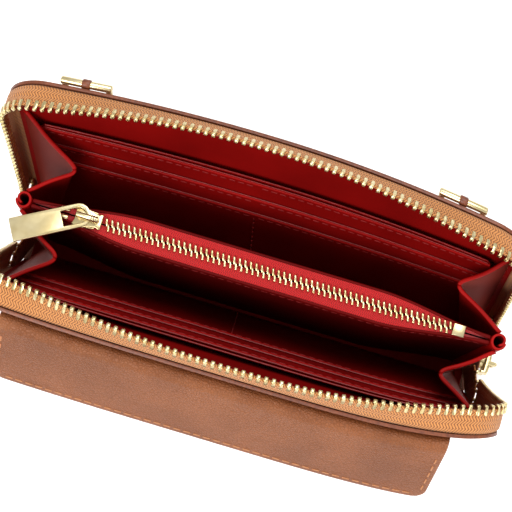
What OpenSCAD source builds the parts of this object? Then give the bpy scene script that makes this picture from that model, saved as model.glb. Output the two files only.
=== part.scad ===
// Zip around wallet, standing open on its spine.
// X runs along the zip, -Y is the front with the flap, +Y the back with the strap loops, +Z is up.
// The origin is the centre of the spine's flat underside.

/* [Covers] */
// Width of each cover along the zip
cover_w = 206; // [170:1:260]
// Height of each cover from its hinge line to the free edge
cover_h = 104; // [86:1:130]
// Radius of the two free corners of a cover
corner_r = 16; // [8:1:22]
// Lean of each open cover away from upright
lean = 18; // [14:1:22]
// Distance of each cover's hinge line from the middle
hinge_y = 4; // [3.5:0.1:6]
// Height of the hinge lines above the rest face
hinge_z = 6; // [5.5:0.5:9]
// Thickness of the outer leather
leather_t = 1.3; // [1:0.1:1.8]
// Thickness of the stiffener board
board_t = 1; // [0.6:0.1:1.5]
// Thickness of the lining leather
lining_t = 0.7; // [0.5:0.1:1]
// How far the lining stops inside the cover's edge
lining_inset = 4; // [3:0.5:6]

/* [Spine] */
// Width of the spine strip across the wallet
spine_w = 24; // [20:1:26]

/* [Card pockets] */
// Width of the card panels
panel_w = 181; // [150:1:184]
// Height of the highest card pocket edge
panel_h = 79; // [65:1:84]
// Drop from one card pocket edge to the next
row_step = 10.5; // [8:0.5:13]
// Thickness of one card pocket layer
layer_t = 0.7; // [0.5:0.1:1]
// Gap for banknotes behind the card panels
bill_gap = 2.1; // [1.5:0.1:3]
// Distance of the innermost card layer from the hinge line
stack_in = 3.6; // [3.4:0.1:5]

/* [Centre pocket] */
// Width of the pocket between its two side tubes
pocket_w = 188; // [170:1:194]
// Height of the pocket's top above the rest face
pocket_h = 84; // [70:1:92]
// Thickness of the pocket in its middle
pocket_t = 12.8; // [10:0.2:12.8]
// Thickness of the pocket beside the tubes
pocket_end_t = 5.8; // [5:0.2:6]
// Length of the tapered stretch at each end
pocket_taper = 38; // [30:1:56]
// Thickness of the pocket's leather
wall_t = 0.9; // [0.7:0.1:1.2]
// Outer radius of the rolled side tubes
tube_r = 3.2; // [2.8:0.1:3.4]

/* [Pocket zip] */
// Distance between two teeth of one row
fine_pitch = 2.2; // [1.8:0.1:2.6]
// Length of the closed chain
chain_l = 144; // [120:1:146]
// Width of the closed chain
chain_w = 4.6; // [4:0.1:5]
// Length of the slider
slider_l = 11; // [9:0.5:13]
// Width of the slider
slider_w = 8.4; // [7.6:0.1:9]
// Length of the puller's tab beyond its ring
puller_l = 26; // [20:0.5:26]
// Width of the puller
puller_w = 9.2; // [8:0.1:10]
// Width of the metal round the puller's ring
ring_band = 1.6; // [1.2:0.1:2]
// Thickness of the puller
puller_t = 1.2; // [1:0.1:1.8]
// Swing of the puller towards the front, seen from above
puller_swing = 29.5; // [0:0.5:30]

/* [Outer zip] */
// Distance between two teeth of the outer zip
tooth_pitch = 2.85; // [2.4:0.05:3.2]
// Length of one outer tooth
tooth_l = 3.8; // [3:0.1:4]
// Visible width of one outer tape
tape_w = 8.4; // [6:0.1:9]
// Thickness of the zip tapes
tape_t = 0.6; // [0.4:0.1:0.8]
// Bend of the front tape in the middle, from the cover's plane
front_bend = 30; // [20:1:60]
// Bend of the back tape in the middle, from the cover's plane
back_bend = 52; // [20:1:60]
// Bend of both tapes at the corners and sides
corner_bend = 94; // [85:1:95]
// Length of the outer puller's tab beyond its ring
outer_puller_l = 16; // [12:0.5:17]
// Swing of the outer puller towards the back, from hanging straight down
outer_swing = 60; // [50:1:80]

/* [Gussets] */
// Angle of one gusset leaf at its lower point
leaf_angle = 13.7; // [12:0.1:15]
// Thickness of a gusset leaf
leaf_t = 0.6; // [0.4:0.1:0.6]
// Gap left at the fold, where the two leaves of a gusset meet
fold_gap = 2.2; // [2:0.1:3.2]

/* [Flap] */
// Width of the flap
flap_w = 169; // [140:1:190]
// Length of the flap below its roll
flap_l = 30; // [20:1:40]
// Inner radius of the flap's roll
roll_r = 3; // [2:0.5:4]
// Angle between the open flap and the cover
flap_open = 50; // [30:1:60]
// Height of the roll's middle on the cover
flap_s = 97; // [80:1:98]
// Thickness of the front pocket's panel
front_panel_t = 1.8; // [1.6:0.1:2.2]
// Distance from the top of the front pocket's panel up to the flap's sewn strip
panel_gap = 4; // [2:0.5:20]
// Radius of the hidden magnets
magnet_r = 5; // [4:0.5:6]

/* [Strap loops] */
// Distance of each strap loop from the middle
loop_x = 73; // [50:1:80]
// Width of a strap loop
loop_w = 19; // [16:0.5:22]
// Height of a strap loop
loop_h = 12; // [10:0.5:14]
// Thickness of a loop's wire
loop_wire = 2.4; // [2:0.1:3]
// Width of the leather keeper that holds the loop
keeper_w = 4.4; // [4:0.2:5.6]

/* [Hidden] */
$fn = 32;

FRONT = -1;
BACK = 1;
LEFT = -1;
RIGHT = 1;

tan_leather = [0.66, 0.38, 0.2];
red_leather = [0.62, 0.04, 0.05];
dark_red = [0.42, 0.02, 0.03];
tan_tape = [0.78, 0.5, 0.24];
gold = [0.86, 0.76, 0.5];
board_grey = [0.5, 0.48, 0.44];

seam = 0.05;                              // gap between two layers sewn to each other
bottom_s = 1;                             // lowest line of a cover's layers
spine_t = leather_t;
spine_len = cover_w - 6;
tab_gap = 0.2;                            // zip end tab to the side tube
tab_l = spine_len / 2 - pocket_w / 2 - tube_r - tab_gap;
tab_clear = 0.4;                          // zip end tab to the spine's lining

// Distances of the cover's layers from the hinge plane, outward
layer_pitch = layer_t + seam;
divider_off = stack_in + 3 * layer_pitch;
lining_off = divider_off + layer_t + bill_gap;
board_off = lining_off + lining_t + seam;
leather_off = board_off + board_t + seam;
outer_off = leather_off + leather_t;
board_inset = lining_inset + 2.2;

// Path of the outer zip round a cover
path_inset = 2;
path_w = cover_w / 2 - path_inset;
path_h = cover_h - path_inset;
path_r = corner_r - path_inset;
path_s0 = 20;
side_l = path_h - path_r - path_s0;
arc_l = PI * path_r / 2;
top_l = 2 * (path_w - path_r);
path_l = 2 * side_l + 2 * arc_l + top_l;
tape_off = leather_off - seam - tape_t;
tape_root = 3.4;
tape_rings = 84;
tooth_w = tooth_pitch * 0.52;
tooth_t = 2.5;
tooth_grip = 1.6;                         // how much of a tooth lies over the tape's edge

// Centre pocket
pocket_floor_z = spine_t + seam + lining_t + seam;
wall_z = pocket_floor_z + wall_t + seam;
border_w = 1.3;
stop_room = chain_w / 2 + 0.2;            // half-width that the border leaves beside the stop
top_z = pocket_h;
zip_z = top_z - wall_t - seam;            // top of the pocket's zip tapes
tooth_h = 2;
chain_x1 = pocket_w / 2 - 18.5;           // right end of the closed chain
chain_x0 = chain_x1 - chain_l;
stop_l = 4.6;
stop_gap = 0.6;
fine_teeth = floor((chain_l - slider_l / 2) / (fine_pitch / 2));
slider_gap = 0.35;
chain_top = zip_z - wall_t + tooth_h;
slider_top = chain_top + slider_gap;
lip = 1;                                  // width of the slider's turned-down sides
plate_t = 1.1;
bridge_r = 0.9;
post_x = slider_l / 2 - 1.9;              // the bridge's two posts stand this far from its middle
ring_hole = puller_w / 2 - ring_band;
band_room = norm([ring_band, puller_t]) / 2 + 0.06;   // lets the puller turn under the bridge
bridge_h = 2 * band_room + 2 * bridge_r;

// Gussets, one point where the pocket's edge line and the cover's edge line cross
gusset_x = pocket_w / 2;
gusset_y = tube_r + leaf_t / 2 + 0.2;
gusset_off = stack_in - leaf_t / 2 - 0.2;
apex_s = (gusset_y - hinge_y - gusset_off * cos(lean)) / sin(lean);
apex_z = hinge_z + apex_s * cos(lean) - gusset_off * sin(lean);
fold_in = acos(cos(leaf_angle) / cos(lean / 2));
leaf_turn = atan2(cos(fold_in) * sin(lean / 2), sin(fold_in));
leaf_foot = wall_z + 6 - apex_z;
leaf_top = pocket_h - 1 - apex_z;
leaf_dip = 3;                             // how much lower the fold ends than the leaf's other edge

// Flap
flap_t = 1.2;
flap_core = 1.1;                          // space between the flap's two leathers, for the magnets
flap_lining_t = 0.8;
root_l = 9;                               // sewn strip below the roll
hinge_gap = 0.9;                          // bare stretch at the flap's bend
lining_gap = 3.6;
panel_off = outer_off + 0.3;
front_panel_h = flap_s - root_l - panel_gap;
flap_off = panel_off;                     // inner face of the flap's sewn root
roll_mid = flap_off + flap_t + roll_r;

// ---- shared shapes ----

// Places a piece that is modelled on a cover: X along it, Y outward from its hinge plane, Z up it
module on_cover(side) {
    mirror([0, side == FRONT ? 1 : 0, 0])
        translate([0, hinge_y, hinge_z])
            rotate([-lean, 0, 0])
                children();
}

// A flat layer of a cover whose inner face is off from the hinge plane
module layer(off, t) {
    translate([0, off + t, 0])
        rotate([90, 0, 0])
            linear_extrude(t)
                children();
}

module cover_outline(inset) {
    w = cover_w / 2 - inset;
    h = cover_h - inset;
    r = max(corner_r - inset, 2);
    translate([-w, bottom_s])
        square([2 * w, h - r - bottom_s]);
    translate([r - w, bottom_s])
        square([2 * (w - r), h - bottom_s]);
    for (side = [LEFT, RIGHT])
        translate([side * (w - r), h - r])
            circle(r);
}

// Rectangle from s0 to s1 with its two upper corners rounded
module top_rounded(w, s0, s1, r) {
    translate([-w / 2, s0])
        square([w, s1 - r - s0]);
    translate([r - w / 2, s0])
        square([w - 2 * r, s1 - s0]);
    for (side = [LEFT, RIGHT])
        translate([side * (w / 2 - r), s1 - r])
            circle(r);
}

// Rectangle from 0 to l along X, centred on Y, with its two far corners rounded
module end_rounded(l, w, r) {
    translate([0, -w / 2])
        square([l - r, w]);
    translate([0, r - w / 2])
        square([l, w - 2 * r]);
    for (side = [-1, 1])
        translate([l - r, side * (w / 2 - r)])
            circle(r);
}

// ---- outer zip path on a cover: [x, s, normal x, normal s] at a distance t along it ----

function right_half(t) =
    t < side_l ? [path_w, path_s0 + t, 1, 0]
    : t < side_l + arc_l
        ? let (a = (t - side_l) / path_r * 180 / PI)
          [path_w - path_r + path_r * cos(a), path_h - path_r + path_r * sin(a), cos(a), sin(a)]
        : [path_w - path_r - (t - side_l - arc_l), path_h, 0, 1];

function path_at(t) =
    t <= path_l / 2 ? right_half(t)
    : let (p = right_half(path_l - t)) [-p[0], p[1], -p[2], p[3]];

function tape_bend(p, middle) =
    let (share = min(abs(p[0]) / (path_w - path_r), 1))
    p[3] < 0.999 ? corner_bend : middle + (corner_bend - middle) * pow(share, 2.4);

// Cross-section of a tape at one place on its path, six points in the cover's own axes
function tape_ring(p, bend) =
    let (x = p[0], s = p[1], nx = p[2], ns = p[3],
         c = cos(bend), g = sin(bend), half = tan(bend / 2) * tape_t,
         root = [x - tape_root * nx, tape_off, s - tape_root * ns],
         tip = [x + tape_w * c * nx, tape_off - tape_w * g, s + tape_w * c * ns])
    [root,
     [x, tape_off, s],
     tip,
     tip + tape_t * [g * nx, c, g * ns],
     [x + half * nx, tape_off + tape_t, s + half * ns],
     root + [0, tape_t, 0]];

module zip_tape(middle) {
    points = [for (i = [0:tape_rings])
                  let (p = path_at(path_l * i / tape_rings))
                  for (q = tape_ring(p, tape_bend(p, middle))) q];
    sides = [for (i = [0:tape_rings - 1])
                 for (k = [0:5])
                     let (a = 6 * i + k, b = 6 * i + (k + 1) % 6)
                     for (f = [[a, b, b + 6], [a, b + 6, a + 6]]) f];
    last = 6 * tape_rings;
    caps = [[0, 5, 4, 1], [1, 4, 3, 2],
            [last, last + 1, last + 4, last + 5], [last + 1, last + 2, last + 3, last + 4]];
    polyhedron(points, concat(sides, caps));
}

module zip_teeth(middle) {
    count = floor(path_l / tooth_pitch);
    for (i = [0:count - 1]) {
        p = path_at((i + 0.5) * path_l / count);
        translate([p[0], tape_off, p[1]])
            rotate([0, -atan2(p[3], p[2]), 0])
                rotate([0, 0, -tape_bend(p, middle)])
                    translate([tape_w - tooth_grip, (tape_t - tooth_t) / 2, -tooth_w / 2])
                        cube([tooth_l, tooth_t, tooth_w]);
    }
}

// ---- spine ----

module spine_leather() {
    color(tan_leather)
        translate([-spine_len / 2, -spine_w / 2, 0])
            cube([spine_len, spine_w, spine_t]);
}

module spine_lining() {
    w = spine_w - 3;
    color(red_leather)
        translate([-spine_len / 2 + tab_l + tab_clear, -w / 2, spine_t + seam])
            cube([spine_len - 2 * (tab_l + tab_clear), w, lining_t]);
}

// ---- centre pocket ----

pocket_end = pocket_w / 2 - tube_r - seam;

// Plan of the pocket inset from its outer face, thin at the tubes and full in the middle
module pocket_plan(inset) {
    t_mid = pocket_t / 2 - inset;
    t_end = pocket_end_t / 2 - inset;
    x_end = pocket_end;
    x_mid = pocket_end - pocket_taper;
    polygon([[-x_end, -t_end], [-x_mid, -t_mid], [x_mid, -t_mid], [x_end, -t_end],
             [x_end, t_end], [x_mid, t_mid], [-x_mid, t_mid], [-x_end, t_end]]);
}

module pocket_side(side) {
    intersection() {
        translate([-pocket_w / 2, side == BACK ? 0.1 : -pocket_t, 0])
            cube([pocket_w, pocket_t - 0.1, pocket_h + 1]);
        children();
    }
}

module pocket_wall(side) {
    color(dark_red)
        pocket_side(side)
            translate([0, 0, wall_z])
                linear_extrude(top_z - wall_t - seam - wall_z)
                    difference() {
                        pocket_plan(0);
                        pocket_plan(wall_t);
                    }
}

module pocket_floor() {
    color(dark_red)
        translate([0, 0, pocket_floor_z])
            linear_extrude(wall_t)
                pocket_plan(0);
}

// Opening over the zip, closing to a slit beyond the stop
module zip_opening() {
    wide = pocket_t / 2 - border_w;
    x_mid = pocket_end - pocket_taper;
    x_stop = chain_x1 + stop_gap + stop_l + 0.4;
    half = [[-pocket_end, 0.4], [-x_stop, stop_room], [-x_mid, wide],
            [x_mid, wide], [x_stop, stop_room], [pocket_end, 0.4]];
    polygon(concat(half, [for (i = [5:-1:0]) [half[i][0], -half[i][1]]]));
}

module pocket_border(side) {
    color(red_leather)
        pocket_side(side)
            translate([0, 0, top_z - wall_t])
                linear_extrude(wall_t)
                    difference() {
                        pocket_plan(0);
                        zip_opening();
                    }
}

// The two tapes almost meet under the teeth and reach the pocket's walls
module pocket_tape(side) {
    edge = 0.4;
    w = pocket_t / 2 - edge;
    color(red_leather)
        translate([0, 0, zip_z - wall_t - seam - tape_t])
            linear_extrude(tape_t)
                intersection() {
                    pocket_plan(wall_t + seam);
                    translate([-pocket_w / 2, side == BACK ? edge : -edge - w])
                        square([pocket_w, w]);
                }
}

// Teeth of both rows in turn, each reaching just over the middle
module pocket_teeth() {
    reach = 0.5;
    w = fine_pitch / 2 * 0.86;
    x0 = chain_x1 - fine_teeth * fine_pitch / 2;
    color(gold)
        for (i = [0:fine_teeth - 1])
            translate([x0 + i * fine_pitch / 2, i % 2 == 0 ? -chain_w / 2 : -reach, zip_z - wall_t])
                cube([w, chain_w / 2 + reach, tooth_h]);
}

module pocket_bottom_stop() {
    color(gold)
        translate([chain_x1 + stop_gap, -chain_w / 2, zip_z - wall_t])
            cube([stop_l, chain_w, tooth_h + 0.2]);
}

module pocket_top_stops() {
    top_stop_l = 3.6;
    top_stop_w = 1.6;
    color(gold)
        for (side = [FRONT, BACK])
            translate([chain_x0 - slider_l / 2 - 2 - top_stop_l, side * 1.6 - top_stop_w / 2,
                       zip_z - wall_t])
                cube([top_stop_l, top_stop_w, tooth_h]);
}

module side_tube(side) {
    color(red_leather)
        translate([side * (pocket_w / 2), 0, pocket_floor_z])
            linear_extrude(pocket_h + 1.6 - pocket_floor_z)
                difference() {
                    circle(tube_r);
                    circle(tube_r - wall_t);
                }
}

// ---- sliders and pullers ----

// Slider over a chain along X, its plate standing on z = 0 and its sides turned down by lip_h
module slider_body(w, lip_h) {
    translate([-slider_l / 2, -w / 2, 0])
        cube([slider_l, w, plate_t]);
    for (side = [-1, 1])
        translate([-slider_l / 2, side * (w - lip) / 2 - lip / 2, -lip_h])
            cube([slider_l, lip, lip_h]);
    for (end = [-1, 1])
        translate([end * post_x, 0, plate_t])
            cylinder(h = bridge_h - bridge_r, r = bridge_r);
    translate([-post_x, 0, plate_t + bridge_h - bridge_r])
        rotate([0, 90, 0])
            cylinder(h = 2 * post_x, r = bridge_r);
}

// Puller lying along -X, with the middle of its ring at the origin
module puller(l) {
    window_l = 4.4;
    translate([0, 0, -puller_t / 2])
        linear_extrude(puller_t)
            difference() {
                union() {
                    circle(puller_w / 2);
                    mirror([1, 0])
                        end_rounded(l, puller_w, 0.6);
                }
                circle(ring_hole);
                translate([-window_l - 2, -ring_hole])
                    square([window_l + 2, 2 * ring_hole]);
            }
}

module pocket_slider() {
    color(gold)
        translate([chain_x0, 0, slider_top])
            slider_body(slider_w, 0.4);
}

// The ring lies round one post of the bridge, so its band passes under the bridge at any swing
module pocket_puller() {
    color(gold)
        translate([chain_x0 - post_x, 0, slider_top + plate_t + band_room])
            rotate([0, 0, puller_swing])
                puller(puller_l);
}

// Closed end of the outer zip, standing beside the right side tube
end_tape_x = spine_len / 2 - 0.8;
end_teeth_x = end_tape_x + tape_t + seam;
end_foot_z = spine_t + 3 + 2 * seam;
outer_slider_w = slider_w + 1.6;
outer_slider_x = end_teeth_x + tooth_h + slider_gap;
outer_slider_z = hinge_z + path_s0 * cos(lean) - slider_l / 2 - 2.5;

module zip_end_tabs() {
    color(tan_leather)
        for (side = [LEFT, RIGHT])
            translate([side * (spine_len / 2 - tab_l / 2) - tab_l / 2, -5, spine_t + seam])
                cube([tab_l, 10, 3]);
}

module zip_end_tape() {
    w = 8.8;
    color(tan_tape)
        translate([end_tape_x, -w / 2, end_foot_z])
            cube([tape_t, w, outer_slider_z + slider_l / 2 - end_foot_z]);
}

// Closed teeth of the outer zip below its slider, and the stop under them
module zip_end_teeth() {
    chain_h = outer_slider_z + slider_l / 2 - end_foot_z;
    count = floor((chain_h - 3) / (tooth_pitch / 2));
    color(gold)
        translate([end_teeth_x, 0, end_foot_z]) {
            translate([0, -chain_w / 2, 0])
                cube([tooth_h, chain_w, 2.4]);
            for (i = [0:count - 1])
                translate([0, i % 2 == 0 ? -chain_w / 2 : -0.5, 2.8 + i * tooth_pitch / 2])
                    cube([tooth_h, chain_w / 2 + 0.5, tooth_pitch * 0.43]);
        }
}

module outer_slider() {
    color(gold)
        translate([outer_slider_x, 0, outer_slider_z])
            rotate([0, 90, 0])
                slider_body(outer_slider_w, 1.2);
}

// The outer puller hangs beside the slider, its tab's lower corner just above the ground
module outer_puller() {
    color(gold)
        translate([outer_slider_x + plate_t + band_room, 0, outer_slider_z - post_x])
            rotate([outer_swing, 0, 0])
                rotate([0, 90, 0])
                    mirror([1, 0, 0])
                        puller(outer_puller_l);
}

// ---- covers ----

module cover_leather(side) {
    color(tan_leather)
        on_cover(side)
            layer(leather_off, leather_t)
                cover_outline(0);
}

module cover_board(side) {
    color(board_grey)
        on_cover(side)
            layer(board_off, board_t)
                cover_outline(board_inset);
}

module cover_lining(side) {
    color(red_leather)
        on_cover(side)
            layer(lining_off, lining_t)
                cover_outline(lining_inset);
}

module cover_tape(side, middle) {
    color(tan_tape)
        on_cover(side)
            zip_tape(middle);
}

module cover_teeth(side, middle) {
    color(gold)
        on_cover(side)
            zip_teeth(middle);
}

module bill_divider(side) {
    color(dark_red)
        on_cover(side)
            layer(divider_off, layer_t)
                top_rounded(panel_w, 3, panel_h + 0.5, 2);
}

// Row 1 has the highest edge and lies against the bill divider
module card_row(side, row) {
    color(red_leather)
        on_cover(side)
            layer(divider_off - row * layer_pitch, layer_t)
                top_rounded(panel_w, 3, panel_h - (row - 1) * row_step, 1.5);
}

// ---- front pocket and flap ----

magnet_x = flap_w / 4;
magnet_t = 0.9;
magnet_up = 6.5;                            // distance of the magnets from the flap's free edge
catch_s = flap_s + roll_r - flap_l + magnet_up;

// Discs on the front pocket's panel that the flap's magnets catch, from its inner face out to t
module catch_discs(r, t) {
    for (side = [LEFT, RIGHT])
        translate([side * magnet_x, panel_off + t, catch_s])
            rotate([90, 0, 0])
                cylinder(h = t, r = r);
}

module front_pocket_panel() {
    color(tan_leather)
        on_cover(FRONT)
            difference() {
                layer(panel_off, front_panel_t)
                    top_rounded(flap_w + 10, 4, front_panel_h, 2);
                translate([0, -seam, 0])
                    catch_discs(magnet_r + seam, magnet_t + 2 * seam);
            }
}

module panel_magnets() {
    color(gold)
        on_cover(FRONT)
            catch_discs(magnet_r, magnet_t);
}

// Section of the flap's sewn strip and its roll, in the cover's axes
module root_profile() {
    far = 8 * roll_r;
    translate([-roll_r - flap_t, -root_l])
        square([flap_t, root_l]);
    intersection() {
        difference() {
            circle(roll_r + flap_t);
            circle(roll_r);
        }
        polygon([[0, 0], [-far, 0], [-far, far], [0, far],
                 far * [cos(flap_open), sin(flap_open)]]);
    }
}

module flap_root() {
    color(tan_leather)
        on_cover(FRONT)
            translate([-flap_w / 2, roll_mid, flap_s])
                rotate([90, 0, 90])
                    linear_extrude(flap_w)
                        root_profile();
}

// Lays a flat piece on the open flap, depth below the leather's outer face, Z to its free edge
module on_flap(depth, t) {
    on_cover(FRONT)
        translate([0, roll_mid, flap_s])
            rotate([flap_open - 180, 0, 0])
                translate([0, depth + t - roll_r - flap_t, 0])
                    rotate([90, 0, 0])
                        linear_extrude(t)
                            children();
}

module flap_leather() {
    color(tan_leather)
        on_flap(0, flap_t)
            top_rounded(flap_w, hinge_gap, flap_l, 5);
}

module flap_lining() {
    color(tan_leather)
        on_flap(flap_t + flap_core, flap_lining_t)
            top_rounded(flap_w, lining_gap, flap_l, 5);
}

module flap_magnets() {
    color(gold)
        on_flap(flap_t + 0.1, magnet_t)
            for (side = [LEFT, RIGHT])
                translate([side * magnet_x, flap_l - magnet_up])
                    circle(magnet_r);
}

// ---- strap loops ----

loop_axis_off = outer_off + 1.4 + loop_wire / 2;
loop_axis_s = cover_h - loop_h + 1;

module strap_loop(side) {
    bar = loop_wire;
    color(gold)
        on_cover(BACK)
            translate([side * loop_x, loop_axis_off, loop_axis_s]) {
                translate([-loop_w / 2, 0, 0])
                    rotate([0, 90, 0])
                        cylinder(h = loop_w, r = bar / 2);
                for (end = [-1, 1])
                    translate([end * (loop_w - bar) / 2 - bar / 2, -bar / 2, 0])
                        cube([bar, bar, loop_h - bar]);
                translate([-loop_w / 2, -bar / 2, loop_h - 1.5 * bar])
                    cube([loop_w, bar, bar]);
            }
}

// Leather straps round the loops' lower bars, sewn to the cover below
module strap_keepers() {
    round_t = 1.1;
    bore = loop_wire / 2 + 0.15;
    outer = bore + round_t;
    tail = 14;
    color(tan_leather)
        on_cover(BACK)
            for (side = [LEFT, RIGHT])
                translate([side * loop_x - keeper_w / 2, loop_axis_off, loop_axis_s])
                    rotate([90, 0, 90])
                        linear_extrude(keeper_w)
                            difference() {
                                union() {
                                    circle(outer);
                                    translate([-loop_axis_off + outer_off + 0.05, -tail])
                                        square([outer + loop_axis_off - outer_off - 0.05, tail]);
                                }
                                circle(bore);
                            }
}

// ---- gussets ----

// Inner leaf at the pocket's edge, in world axes, for the back right corner
module leaf_back_right() {
    trim = fold_gap / 2 / cos(leaf_angle);
    fold_len = leaf_top - leaf_dip;
    translate([gusset_x, gusset_y, apex_z])
        rotate([0, 0, -leaf_turn])
            rotate([90, 0, 0])
                translate([0, 0, -leaf_t / 2])
                    linear_extrude(leaf_t)
                        polygon([[-0.2, leaf_foot],
                                 [trim - leaf_foot * tan(leaf_angle), leaf_foot],
                                 [trim - fold_len * tan(leaf_angle), fold_len],
                                 [-0.2, leaf_top]]);
}

module gusset_inner(depth_side, width_side) {
    color(dark_red)
        mirror([0, depth_side == FRONT ? 1 : 0, 0])
            mirror([width_side == LEFT ? 1 : 0, 0, 0])
                leaf_back_right();
}

module gusset_outer(depth_side, width_side) {
    color(dark_red)
        mirror([0, depth_side == FRONT ? 1 : 0, 0])
            mirror([width_side == LEFT ? 1 : 0, 0, 0])
                translate([0, gusset_y, apex_z])
                    mirror([0, cos(lean / 2), -sin(lean / 2)])
                        translate([0, -gusset_y, -apex_z])
                            leaf_back_right();
}

// ---- drawing ----

spine_leather();
spine_lining();
pocket_wall(FRONT);  // pocket_wall_front
pocket_wall(BACK);  // pocket_wall_back
pocket_floor();
pocket_border(FRONT);  // pocket_border_front
pocket_border(BACK);  // pocket_border_back
pocket_tape(FRONT);  // pocket_tape_front
pocket_tape(BACK);  // pocket_tape_back
pocket_teeth();
pocket_bottom_stop();
pocket_top_stops();
side_tube(LEFT);  // side_tube_left
side_tube(RIGHT);  // side_tube_right
zip_end_tabs();
zip_end_tape();
zip_end_teeth();
pocket_slider();
pocket_puller();
outer_slider();
outer_puller();
cover_leather(FRONT);  // front_cover_leather
cover_board(FRONT);  // front_cover_board
cover_lining(FRONT);  // front_cover_lining
cover_tape(FRONT, front_bend);  // front_zip_tape
cover_teeth(FRONT, front_bend);  // front_zip_teeth
bill_divider(FRONT);  // front_bill_divider
card_row(FRONT, 1);  // front_card_row_1
card_row(FRONT, 2);  // front_card_row_2
card_row(FRONT, 3);  // front_card_row_3
front_pocket_panel();
panel_magnets();
flap_root();
flap_leather();
flap_lining();
flap_magnets();
cover_leather(BACK);  // back_cover_leather
cover_board(BACK);  // back_cover_board
cover_lining(BACK);  // back_cover_lining
cover_tape(BACK, back_bend);  // back_zip_tape
cover_teeth(BACK, back_bend);  // back_zip_teeth
bill_divider(BACK);  // back_bill_divider
card_row(BACK, 1);  // back_card_row_1
card_row(BACK, 2);  // back_card_row_2
card_row(BACK, 3);  // back_card_row_3
strap_keepers();
strap_loop(LEFT);  // strap_loop_left
strap_loop(RIGHT);  // strap_loop_right
gusset_inner(FRONT, LEFT);  // gusset_front_left_inner
gusset_outer(FRONT, LEFT);  // gusset_front_left_outer
gusset_inner(FRONT, RIGHT);  // gusset_front_right_inner
gusset_outer(FRONT, RIGHT);  // gusset_front_right_outer
gusset_inner(BACK, LEFT);  // gusset_back_left_inner
gusset_outer(BACK, LEFT);  // gusset_back_left_outer
gusset_inner(BACK, RIGHT);  // gusset_back_right_inner
gusset_outer(BACK, RIGHT);  // gusset_back_right_outer
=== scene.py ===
import math

import bmesh
import bpy
from mathutils import Matrix, Vector


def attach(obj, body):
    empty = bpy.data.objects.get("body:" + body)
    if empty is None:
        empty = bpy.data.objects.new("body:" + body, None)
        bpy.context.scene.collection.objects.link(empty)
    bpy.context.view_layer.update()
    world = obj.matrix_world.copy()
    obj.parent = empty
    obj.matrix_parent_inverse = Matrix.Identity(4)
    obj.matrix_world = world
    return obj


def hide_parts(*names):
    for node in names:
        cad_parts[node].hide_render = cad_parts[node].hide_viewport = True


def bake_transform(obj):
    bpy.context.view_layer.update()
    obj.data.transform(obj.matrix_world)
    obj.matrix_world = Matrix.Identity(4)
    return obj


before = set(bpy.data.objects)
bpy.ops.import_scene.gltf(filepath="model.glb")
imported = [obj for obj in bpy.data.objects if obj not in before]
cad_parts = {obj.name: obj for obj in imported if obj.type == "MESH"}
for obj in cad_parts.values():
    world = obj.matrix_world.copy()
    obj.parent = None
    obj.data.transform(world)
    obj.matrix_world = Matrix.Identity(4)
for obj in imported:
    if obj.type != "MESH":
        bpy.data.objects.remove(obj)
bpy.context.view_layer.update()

# All shapes below are worked out in millimetres and written to the meshes in metres.
MM = 0.001
FRONT, BACK, LEFT, RIGHT = -1, 1, -1, 1
SIDE_NAME = {FRONT: "front", BACK: "back"}
HAND_NAME = {LEFT: "left", RIGHT: "right"}

# ---- the wallet's sizes ----
LEAN = math.radians(18)
HINGE_Y, HINGE_Z = 4.0, 6.0
COVER_HALF, COVER_H, CORNER_R = 103.0, 104.0, 16.0
LEATHER_T, LINING_T, LAYER_T = 1.3, 0.7, 0.7
LEATHER_OFF, LINING_OFF, BOARD_OFF, DIVIDER_OFF = 10.45, 8.65, 9.4, 5.85
PATH_HALF, PATH_H, PATH_R, PATH_S0 = 101.6, 102.6, 14.6, 20.0
TAPE_OFF, TAPE_T, TAPE_ROOT, TAPE_W = 9.8, 0.6, 3.4, 8.4
TOOTH_PITCH, TOOTH_L, TOOTH_GRIP = 2.85, 3.8, 1.6
CORNER_BEND = 94.0
MID_BEND = {FRONT: 30.0, BACK: 52.0}
PANEL_HALF, PANEL_H, ROW_STEP = 90.5, 79.0, 10.5
POCKET_X, POCKET_HALF, TUBE_R = 94.0, 90.7, 3.2
CHAIN_X0, CHAIN_X1, FINE_PITCH = -68.5, 75.5, 2.2
PANEL_OFF = 12.05
FLAP_HALF, FLAP_L, FLAP_S = 86.2, 30.0, 97.0
FLAP_MID = -1.7
ROLL_OFF, ROLL_R, FLAP_T = 16.25, 3.0, 1.2
LOOP_X, LOOP_OFF, LOOP_HALF, LOOP_WIRE = 73, 14.35, 9.5, 1.2
LOOP_LOW, LOOP_HIGH = 93.0, 102.6
COVER_FOOT, SLOT_MIDDLE = 1.0, -4.0
PANEL_TOP, PANEL_SIDE, PANEL_T = 84.0, 89.5, 1.7
FLAP_ROOT, FLAP_TURN = 9.0, math.radians(130)

# How the soft covers bow: sag and curl move them off their flat plane, more with power towards
# the ends; shift slides their tops sideways and grow stretches them there.
BOW = {
    BACK: {"sag": 0.5, "curl": {LEFT: 7.5, RIGHT: 10.6}, "power": 2.0, "shift": -8.9, "grow": 1.0},
    FRONT: {"sag": -2.0, "curl": {LEFT: 2.0, RIGHT: 9.0}, "power": 4.0, "shift": 0.0, "grow": -1.0},
}


# Pitch, length, width and height of the stitches
LONG_STITCH, ROW_STITCH = (3.9, 2.9, 0.62, 0.5), (3.6, 2.5, 0.5, 0.34)
POCKET_STITCH = (3.4, 2.4, 0.45, 0.3)


def srgb(r, g, b):
    def line(v):
        v /= 255
        return v / 12.92 if v <= 0.04045 else ((v + 0.055) / 1.055) ** 2.4
    return (line(r), line(g), line(b), 1.0)


def mix(a, b, t):
    return a + (b - a) * t


def smooth(t):
    t = min(max(t, 0.0), 1.0)
    return t * t * (3 - 2 * t)


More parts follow.
